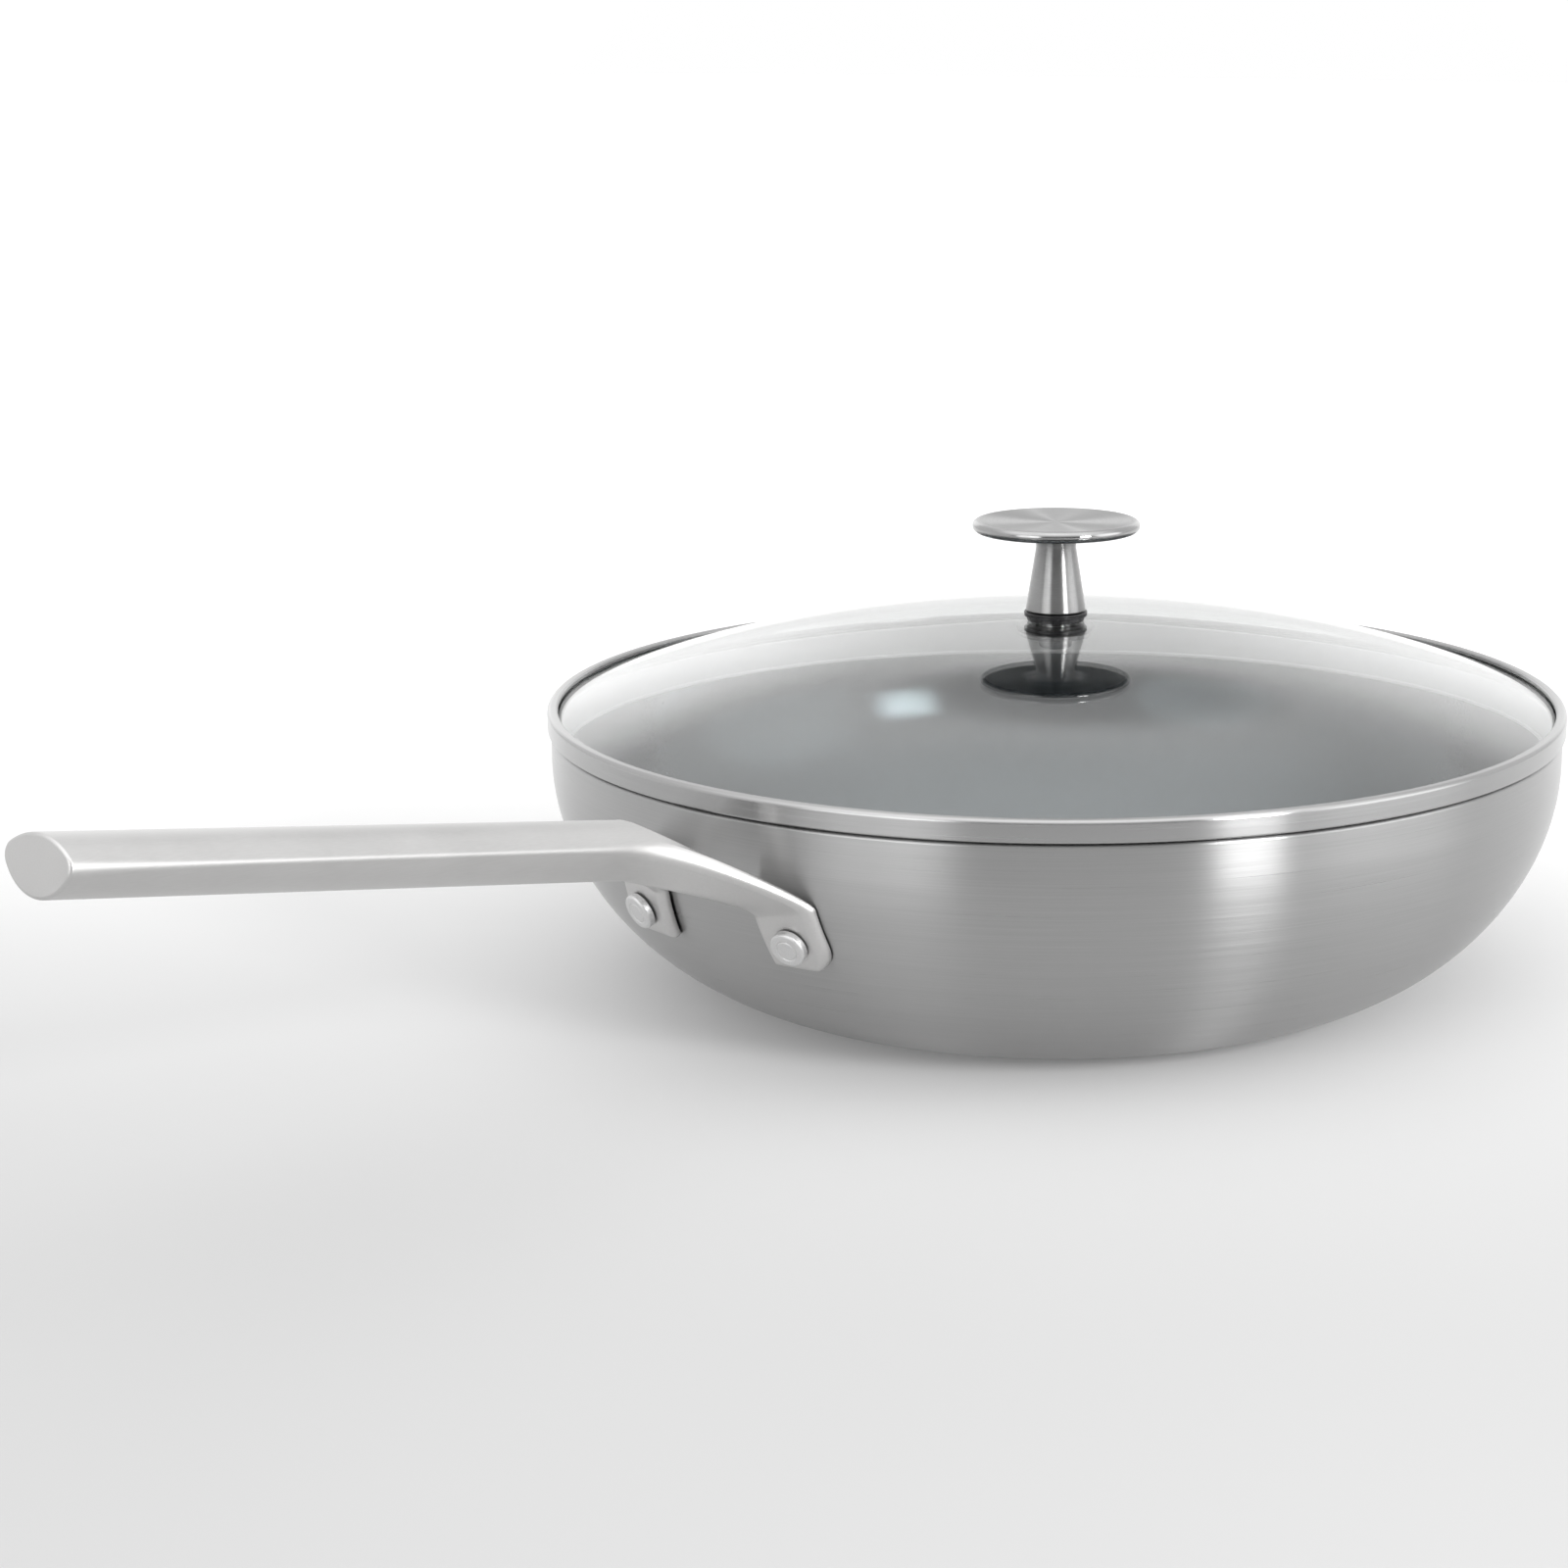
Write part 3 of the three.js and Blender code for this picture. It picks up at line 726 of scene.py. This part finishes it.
def make_screw():
    head_bottom = screw_head_top - SCREW_HEAD_HEIGHT
    tip = stem_bottom + SCREW_GRIP
    return turned("screw_skin", rounded([
        (0, head_bottom + SCREW_SOCKET_FLOOR_DEPTH, 0),
        (SCREW_SOCKET_FLOOR_RADIUS, head_bottom + SCREW_SOCKET_DEPTH, EDGE_CRISP),
        (SCREW_SOCKET_RADIUS, head_bottom, EDGE_CRISP),
        (SCREW_HEAD_RADIUS, head_bottom, SCREW_HEAD_ROUND),
        (SCREW_HEAD_RADIUS, screw_head_top, SCREW_SEAT_ROUND),
        (SCREW_RADIUS, screw_head_top, SCREW_SEAT_ROUND),
        (SCREW_RADIUS, tip, SCREW_TIP_ROUND),
        (0, tip, 0),
    ]), SMALL_SIDES)


# Materials
WHITE = (1, 1, 1, 1)
# A colour mix node's sockets: its two colours and its result
MIX_FIRST, MIX_SECOND, MIX_RESULT = 6, 7, 2
# Lines round turned steel: their pace, how much wider the broad ones are, the fine ones' share of
# the sum, the change of roughness along them, and the turn that sets highlights across them
FINE_LINES = 3.0
BROAD_LINES = 1.2
BROAD_WIDTH = 9
FINE_SHARE = 0.75
GLOSS_RIPPLE = 0.03
CROSS_BRUSHED = 0.25
# The skirt's inner face is rougher than the band, and painted light makes it paler, between these
# distances from it
SKIRT_PAINTED_PALE = 0.8
SKIRT_ROUGHER = 0.3
SKIRT_BLEND = (0.1, 0.3)
# The knob's dish is satin and its rim polished, and its underside outside the stem is darkened by
# painted shade
KNOB_DISH_ROUGH = 0.34
KNOB_RIM_ROUGH = 0.16
KNOB_RIM_BLEND = 0.8
KNOB_LINES = 4.0
KNOB_LINE_WIDTH = 7000
KNOB_RIPPLE = 0.04
KNOB_UNDER_PAINTED_SHADE = 0.16
KNOB_UNDER_BLEND = 0.6
KNOB_UNDER_START = (1.4, 1.9)
HANDLE_GRAIN = (60, 2600, 2600)
HANDLE_WARMTH = 0.004


class Nodes:
    """Short ways to add nodes to a material, with its Principled shader, or to a world."""

    def __init__(self, owner):
        owner.use_nodes = True
        self.owner = owner
        self.tree = owner.node_tree
        self.shader = self.tree.nodes.get("Principled BSDF")

    def add(self, kind, **settings):
        node = self.tree.nodes.new(kind)
        for key, value in settings.items():
            setattr(node, key, value)
        return node

    def link(self, source, target):
        self.tree.links.new(source, target)

    def math(self, operation, a, b):
        node = self.add("ShaderNodeMath", operation=operation)
        for socket, value in zip(node.inputs, (a, b)):
            if isinstance(value, bpy.types.NodeSocket):
                self.link(value, socket)
            else:
                socket.default_value = value
        return node.outputs[0]

    def vector(self, operation, a, b=None, scale=None):
        node = self.add("ShaderNodeVectorMath", operation=operation)
        self.link(a, node.inputs[0])
        if isinstance(b, bpy.types.NodeSocket):
            self.link(b, node.inputs[1])
        elif b is not None:
            node.inputs[1].default_value = b
        if scale is not None:
            node.inputs["Scale"].default_value = scale
        return node.outputs["Value" if operation in ("LENGTH", "DOT_PRODUCT") else "Vector"]

    def place(self):
        return self.add("ShaderNodeTexCoord").outputs["Object"]

    def height(self, where):
        parts = self.add("ShaderNodeSeparateXYZ")
        self.link(where, parts.inputs[0])
        return parts.outputs["Z"]

    def radius(self):
        return self.vector("LENGTH", self.vector("MULTIPLY", self.place(), (1, 1, 0)))

    def noise(self, where, scale, detail=2.0, roughness=0.55):
        node = self.add("ShaderNodeTexNoise")
        self.link(where, node.inputs["Vector"])
        node.inputs["Scale"].default_value = scale
        node.inputs["Detail"].default_value = detail
        node.inputs["Roughness"].default_value = roughness
        return node.outputs["Fac"]

    def spread(self, value, low, high, start=0.3, end=0.7, soft=False):
        """The range from start to end, which most noise lies in, spread from low to high."""
        kind = "SMOOTHSTEP" if soft else "LINEAR"
        node = self.add("ShaderNodeMapRange", interpolation_type=kind)
        self.link(value, node.inputs["Value"])
        ends = {"From Min": start, "From Max": end, "To Min": low, "To Max": high}
        for socket, number in ends.items():
            node.inputs[socket].default_value = number
        return node.outputs["Result"]

    def mixed(self, share, second):
        node = self.add("ShaderNodeMix", data_type="RGBA")
        self.link(share, node.inputs["Factor"])
        node.inputs[MIX_SECOND].default_value = (*second, 1)
        return node

    def tint(self, share, dark, light):
        node = self.mixed(share, light)
        node.inputs[MIX_FIRST].default_value = (*dark, 1)
        return node.outputs[MIX_RESULT]

    def colour(self, noise, dark, light):
        """Base colour from a noise."""
        tint = self.tint(self.spread(noise, 0, 1), dark, light)
        self.link(tint, self.shader.inputs["Base Color"])

    def shade_base(self, share, colour):
        """Mixes a colour over the base colour."""
        base = self.shader.inputs["Base Color"]
        node = self.mixed(share, colour)
        self.link(base.links[0].from_socket, node.inputs[MIX_FIRST])
        self.link(node.outputs[MIX_RESULT], base)

    def roughness(self, noise, low, high):
        """Roughness from a noise."""
        self.link(self.spread(noise, low, high), self.shader.inputs["Roughness"])

    def bump(self, height, depth, strength):
        node = self.add("ShaderNodeBump")
        self.link(height, node.inputs["Height"])
        node.inputs["Distance"].default_value = depth
        node.inputs["Strength"].default_value = strength
        self.link(node.outputs["Normal"], self.shader.inputs["Normal"])

    def set(self, **values):
        for key, value in values.items():
            self.shader.inputs[key.replace("_", " ")].default_value = value

    def round_grain(self, around, across, detail=2.0):
        """Noise drawn out round +Z: fine lines across the turning direction, long along it."""
        where = self.place()
        flat = self.vector("MULTIPLY", where, (1, 1, 0))
        spin = self.vector("SCALE", self.vector("NORMALIZE", flat), scale=around)
        along = self.math("ADD", self.vector("LENGTH", flat), self.height(where))
        lines = self.add("ShaderNodeCombineXYZ")
        self.link(self.math("MULTIPLY", along, across), lines.inputs["Z"])
        return self.noise(self.vector("ADD", spin, lines.outputs[0]), 1.0, detail)

    def straight_grain(self, scale):
        return self.noise(self.vector("MULTIPLY", self.place(), scale), 1.0)

    def brushed_round(self, amount):
        """Stretches highlights across the turning lines."""
        tangent = self.add("ShaderNodeTangent", direction_type="RADIAL", axis="Z")
        self.link(tangent.outputs[0], self.shader.inputs["Tangent"])
        self.set(Anisotropic=amount, Anisotropic_Rotation=CROSS_BRUSHED)


def new_material(name):
    return Nodes(bpy.data.materials.new(name))


def grey(value, warm=0.0):
    return (value + warm, value, value - warm)


def turned_steel(name, dark, light, rough, across, stretch, depth):
    """Steel brushed round its axis: long fine lines in colour, gloss and relief."""
    made = new_material(name)
    fine = made.round_grain(FINE_LINES, across, detail=3.0)
    broad = made.round_grain(BROAD_LINES, across / BROAD_WIDTH)
    fine_part = made.math("MULTIPLY", fine, FINE_SHARE)
    both = made.math("ADD", fine_part, made.math("MULTIPLY", broad, 1 - FINE_SHARE))
    made.colour(both, grey(dark), grey(light))
    made.roughness(both, rough - GLOSS_RIPPLE, rough + GLOSS_RIPPLE)
    made.set(Metallic=1.0)
    made.brushed_round(stretch)
    made.bump(fine, depth, strength=0.5)
    return made


def body_steel():
    return turned_steel("body_steel", dark=0.38, light=0.43, rough=0.3, across=3200,
                        stretch=1.0, depth=0.00002).owner


def band_steel():
    """Brushed outside, and satin on the skirt's inner face, which painted light makes pale."""
    made = turned_steel("band_steel", dark=0.38, light=0.44, rough=0.25, across=5000,
                        stretch=1.0, depth=0.00001)
    edges = [(skirt_inner + beyond) * MM for beyond in SKIRT_BLEND]
    inside = made.spread(made.radius(), 1, 0, *edges)
    # Painted light: the skirt's inner face is mixed towards a pale grey in place of the brighter
    # reflection it shows
    made.shade_base(inside, grey(SKIRT_PAINTED_PALE))
    rough = made.shader.inputs["Roughness"]
    rougher = made.math("MULTIPLY", inside, SKIRT_ROUGHER)
    made.link(made.math("ADD", rougher, rough.links[0].from_socket), rough)
    return made.owner


def knob_steel():
    """A satin dish in a polished rim, with painted shade underneath."""
    made = turned_steel("knob_steel", dark=0.33, light=0.39, rough=0.26, across=KNOB_LINE_WIDTH,
                        stretch=0.95, depth=0.00001)
    rim = (KNOB_DISH_EDGE * MM, (KNOB_DISH_EDGE + KNOB_RIM_BLEND) * MM)
    polish = made.spread(made.radius(), KNOB_DISH_ROUGH, KNOB_RIM_ROUGH, *rim)
    lines = made.round_grain(KNOB_LINES, KNOB_LINE_WIDTH)
    ripple = made.spread(lines, -KNOB_RIPPLE, KNOB_RIPPLE)
    made.link(made.math("ADD", polish, ripple), made.shader.inputs["Roughness"])
    # Painted shade: the disc's underside, outside the stem, is mixed towards a dark grey
    disc = (disc_bottom * MM, (disc_bottom + KNOB_UNDER_BLEND) * MM)
    low = made.spread(made.height(made.place()), 1, 0, *disc)
    start, end = (STEM_NECK_RADIUS * times * MM for times in KNOB_UNDER_START)
    outside = made.spread(made.radius(), 0, 1, start, end)
    made.shade_base(made.math("MULTIPLY", low, outside), grey(KNOB_UNDER_PAINTED_SHADE))
    return made.owner


def handle_steel():
    """Fine satin with short grain along the bar and a little unevenness from hand finishing."""
    made = new_material("handle_steel")
    grain = made.straight_grain(HANDLE_GRAIN)
    cloud = made.noise(made.place(), scale=45, detail=3.0)
    both = made.math("MULTIPLY", made.math("ADD", grain, cloud), 0.5)
    made.colour(both, grey(0.54, HANDLE_WARMTH), grey(0.60, HANDLE_WARMTH))
    made.roughness(both, low=0.39, high=0.46)
    made.set(Metallic=1.0)
    made.bump(grain, depth=0.00001, strength=0.4)
    return made.owner


def rivet_steel():
    """Pale blasted heads with a fine tooth."""
    made = new_material("rivet_steel")
    tooth = made.noise(made.place(), scale=2600, detail=3.0, roughness=0.7)
    made.colour(tooth, grey(0.6), grey(0.7))
    made.roughness(tooth, low=0.42, high=0.55)
    made.set(Metallic=1.0)
    made.bump(tooth, depth=0.00002, strength=0.4)
    return made.owner


def fastener_steel():
    return turned_steel("fastener_steel", dark=0.44, light=0.54, rough=0.26, across=6000,
                        stretch=0.4, depth=0.00001).owner


def coating():
    """Dark sprayed coating with a soft sheen, a fine orange-peel relief and faint speckle."""
    made = new_material("coating")
    speckle = made.noise(made.place(), scale=1800)
    peel = made.noise(made.place(), scale=420)
    made.colour(speckle, dark=(0.018, 0.022, 0.026), light=(0.026, 0.032, 0.038))
    made.roughness(peel, low=0.13, high=0.17)
    made.set(Specular_IOR_Level=0.6, Specular_Tint=(0.78, 0.93, 1.0, 1))
    made.bump(peel, depth=0.00002, strength=0.1)
    return made.owner


def clear_glass():
    """Polished glass with a trace of haze that comes and goes."""
    made = new_material("clear_glass")
    haze = made.noise(made.place(), scale=18, detail=3.0)
    made.roughness(haze, low=0.0, high=0.015)
    made.colour(haze, dark=(0.975, 0.99, 0.985), light=(0.985, 0.995, 0.99))
    made.set(Transmission_Weight=1.0, IOR=1.5)
    return made.owner


def black_rubber():
    """Black soft washers with a fine tooth and a low sheen."""
    made = new_material("black_rubber")
    tooth = made.noise(made.place(), scale=2200)
    made.colour(tooth, dark=(0.012, 0.012, 0.013), light=(0.022, 0.022, 0.024))
    made.roughness(tooth, low=0.26, high=0.36)
    made.bump(tooth, depth=0.00002, strength=0.3)
    return made.owner


def pale_silicone():
    """Milky seal between glass and band."""
    made = new_material("pale_silicone")
    cloud = made.noise(made.place(), scale=160)
    made.colour(cloud, dark=(0.5, 0.52, 0.52), light=(0.6, 0.62, 0.62))
    made.roughness(cloud, low=0.4, high=0.55)
    made.set(Transmission_Weight=0.3)
    return made.owner


def place(thing, body, node, material):
    """Puts a piece on its body in place of its CAD node."""
    thing.data.materials.append(material)
    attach(thing, body)
    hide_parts(node)


def build_wok():
    satin, pale = handle_steel(), rivet_steel()
    place(make_bowl(), "wok", "wok_body", body_steel())
    place(make_lining(), "wok", "nonstick_lining", coating())
    place(make_handle(), "wok", "handle", satin)
    place(make_rivet("rivet_left_skin", 1), "wok", "rivet_left", pale)
    place(make_rivet("rivet_right_skin", -1), "wok", "rivet_right", pale)


def build_lid():
    rubber, bright = black_rubber(), fastener_steel()
    under = make_ring("under_gasket_skin", UNDER_GASKET_RADIUS, under_top, UNDER_GASKET,
                      UNDER_GASKET_ROUND)
    washer = make_ring("washer_skin", WASHER_RADIUS, washer_top, WASHER, EDGE_FINE)
    place(make_band(), "lid", "lid_band", band_steel())
    place(make_glass(), "lid", "lid_glass", clear_glass())
    place(make_seal(), "lid", "rim_seal", pale_silicone())
    place(make_knob(), "lid", "knob", knob_steel())
    place(make_gasket(), "lid", "knob_gasket", rubber)
    place(under, "lid", "under_gasket", rubber)
    place(washer, "lid", "knob_washer", bright)
    place(make_screw(), "lid", "knob_screw", bright)


# Studio: a pale floor, a white backdrop with soft glows round it, and one small softbox
FLOOR_HALF = 14
FLOOR_DROP = 0.0003
# The paper's own shade, the share of it that painted shade leaves just in front of the object, and
# its glow at the back and, lowered by the same painted shade, in front
PAPER = 0.94
PAPER_FRONT_SHADE = 0.66
PAPER_GLOW = (0.3, 0.08)
PAPER_ROUGH = 0.9
PAPER_CLOUD = 3
PAPER_UNEVEN = 0.01
# The painted shade in front comes in over this stretch towards the camera, and goes out between
# these distances from the object
PAPER_FALL = (-0.4, 0.3)
PAPER_REACH = (0.6, 2.2)
# Light on matt faces, the backdrop's shade on the camera's side, and where it comes in
WORLD_LIGHT = 0.25
ROOM_SHADE = 0.08
ROOM_RISE = (0.25, 0.85)
# Glows as direction, strength, reach and core, the last two in degrees
GLOWS = (
    ((-0.28, -0.16, 1), 1.1, 65, 0),
    ((-0.94, 0.01, 0.26), 2.2, 21, 13),
    ((-0.955, -0.145, 0.26), 1.3, 11, 5),
    ((0.4, -0.86, 0.26), 1.6, 28, 12),
    ((0.518, 0.83, 0.208), 0.5, 17, 4),
    ((0.93, 0.302, 0.208), 0.4, 17, 4),
    ((0.481, 0.465, 0.743), 0.35, 24, 6),
)
# The backdrop is greyer high up at the back: direction, share, reach and core
BACK_SHADE = ((0.696, 0.515, 0.5), 0.5, 10, 3)
SOFTBOX_PLACE = Vector((-0.257, -1.358, 0.6))
SOFTBOX_AIM = Vector((0, 0, 0.05))
SOFTBOX_SIZE = (0.34, 0.36)
SOFTBOX_POWER = 10
CAMERA_PLACE = Vector((-0.6662, -0.5205, 0.2626))
CAMERA_AIM = Vector((0.7499, 0.6159, -0.2415))
CAMERA_SENSOR = 36
CAMERA_LENS = 69.3
CAMERA_SHIFT = -0.1271
FRONT = (*CAMERA_PLACE.xy.normalized(), 0)


def seen_directly(made):
    """1 for rays that show the background: from the camera, off gloss and through glass."""
    path = made.add("ShaderNodeLightPath").outputs
    either = made.math("MAXIMUM", path["Is Glossy Ray"], path["Is Transmission Ray"])
    return made.math("MAXIMUM", path["Is Camera Ray"], either)


def frontness(made, where, edges):
    """From 0 to 1 towards the camera's side."""
    return made.spread(made.vector("DOT_PRODUCT", where, FRONT), 0, 1, *edges, soft=True)


def round_patch(made, where, middle, outside, inside, reach, core):
    """One value in a patch's core and another beyond its reach, both in degrees from its middle."""
    near = made.vector("DOT_PRODUCT", where, Vector(middle).normalized())
    edges = (math.cos(math.radians(reach)), math.cos(math.radians(core)))
    return made.spread(near, outside, inside, *edges, soft=True)


def add_glow(made, where, total, middle, strength, reach, core):
    """The shader so far with one more glow added to it."""
    glow = made.add("ShaderNodeBackground")
    glow.inputs["Color"].default_value = WHITE
    patch = round_patch(made, where, middle, 0, strength, reach, core)
    made.link(patch, glow.inputs["Strength"])
    both = made.add("ShaderNodeAddShader")
    made.link(total, both.inputs[0])
    made.link(glow.outputs[0], both.inputs[1])
    return both.outputs[0]


def make_world():
    """A white backdrop, grey on the camera's side and in a patch at the back, and soft glows."""
    world = bpy.data.worlds.new("studio")
    bpy.context.scene.world = world
    made = Nodes(world)
    made.tree.nodes.clear()
    light, backdrop = (made.add("ShaderNodeBackground") for _ in range(2))
    light.inputs["Color"].default_value = WHITE
    light.inputs["Strength"].default_value = WORLD_LIGHT
    where = made.add("ShaderNodeTexCoord").outputs["Generated"]
    front = frontness(made, where, ROOM_RISE)
    made.link(made.tint(front, grey(1), grey(ROOM_SHADE)), backdrop.inputs["Color"])
    middle, share, reach, core = BACK_SHADE
    patch = round_patch(made, where, middle, 1, share, reach, core)
    made.link(patch, backdrop.inputs["Strength"])
    mix = made.add("ShaderNodeMixShader")
    made.link(seen_directly(made), mix.inputs["Fac"])
    made.link(light.outputs[0], mix.inputs[1])
    made.link(backdrop.outputs[0], mix.inputs[2])
    total = mix.outputs[0]
    for glow in GLOWS:
        total = add_glow(made, where, total, *glow)
    made.link(total, made.add("ShaderNodeOutputWorld").inputs[0])


def make_floor():
    """Paper, white at the back and far off, with painted shade greying it just in front of the
    object.
    """
    mesh = bpy.data.meshes.new("floor")
    half = FLOOR_HALF
    corners = ((-half, -half), (half, -half), (half, half), (-half, half))
    mesh.from_pydata([(x, y, -FLOOR_DROP) for x, y in corners], [], [(0, 1, 2, 3)])
    floor = bpy.data.objects.new("floor", mesh)
    bpy.context.scene.collection.objects.link(floor)
    made = new_material("floor_paper")
    # Painted shade: the paper's colour and glow are lowered towards the camera's side near the
    # object
    front = frontness(made, made.place(), PAPER_FALL)
    near = made.spread(made.radius(), 1, 0, *PAPER_REACH, soft=True)
    shade = made.math("MULTIPLY", front, near)
    bright = made.spread(shade, 1, PAPER_FRONT_SHADE, 0, 1)
    cloud = made.noise(made.place(), PAPER_CLOUD)
    paper = made.spread(cloud, PAPER - PAPER_UNEVEN, PAPER + PAPER_UNEVEN)
    made.link(made.math("MULTIPLY", paper, bright), made.shader.inputs["Base Color"])
    glow = made.math("MULTIPLY", seen_directly(made), made.spread(shade, *PAPER_GLOW, 0, 1))
    made.link(glow, made.shader.inputs["Emission Strength"])
    made.set(Roughness=PAPER_ROUGH, Specular_IOR_Level=0.0, Emission_Color=WHITE)
    mesh.materials.append(made.owner)


def stand(name, data, where, aim):
    """An object for a lamp or camera that looks along a direction."""
    thing = bpy.data.objects.new(name, data)
    thing.location = where
    thing.rotation_mode = "QUATERNION"
    thing.rotation_quaternion = aim.to_track_quat("-Z", "Y")
    bpy.context.scene.collection.objects.link(thing)
    return thing


def make_softbox():
    light = bpy.data.lights.new("softbox", "AREA")
    light.shape = "RECTANGLE"
    light.size, light.size_y = SOFTBOX_SIZE
    light.energy = SOFTBOX_POWER
    stand("softbox", light, SOFTBOX_PLACE, SOFTBOX_AIM - SOFTBOX_PLACE)


def make_camera():
    data = bpy.data.cameras.new("camera")
    data.sensor_fit = "HORIZONTAL"
    data.sensor_width = CAMERA_SENSOR
    data.lens = CAMERA_LENS
    data.shift_x = CAMERA_SHIFT
    bpy.context.scene.camera = stand("camera", data, CAMERA_PLACE, CAMERA_AIM)


def make_studio():
    bpy.context.scene.view_settings.view_transform = "Standard"
    make_world()
    make_floor()
    make_softbox()
    make_camera()


build_wok()
build_lid()
make_studio()
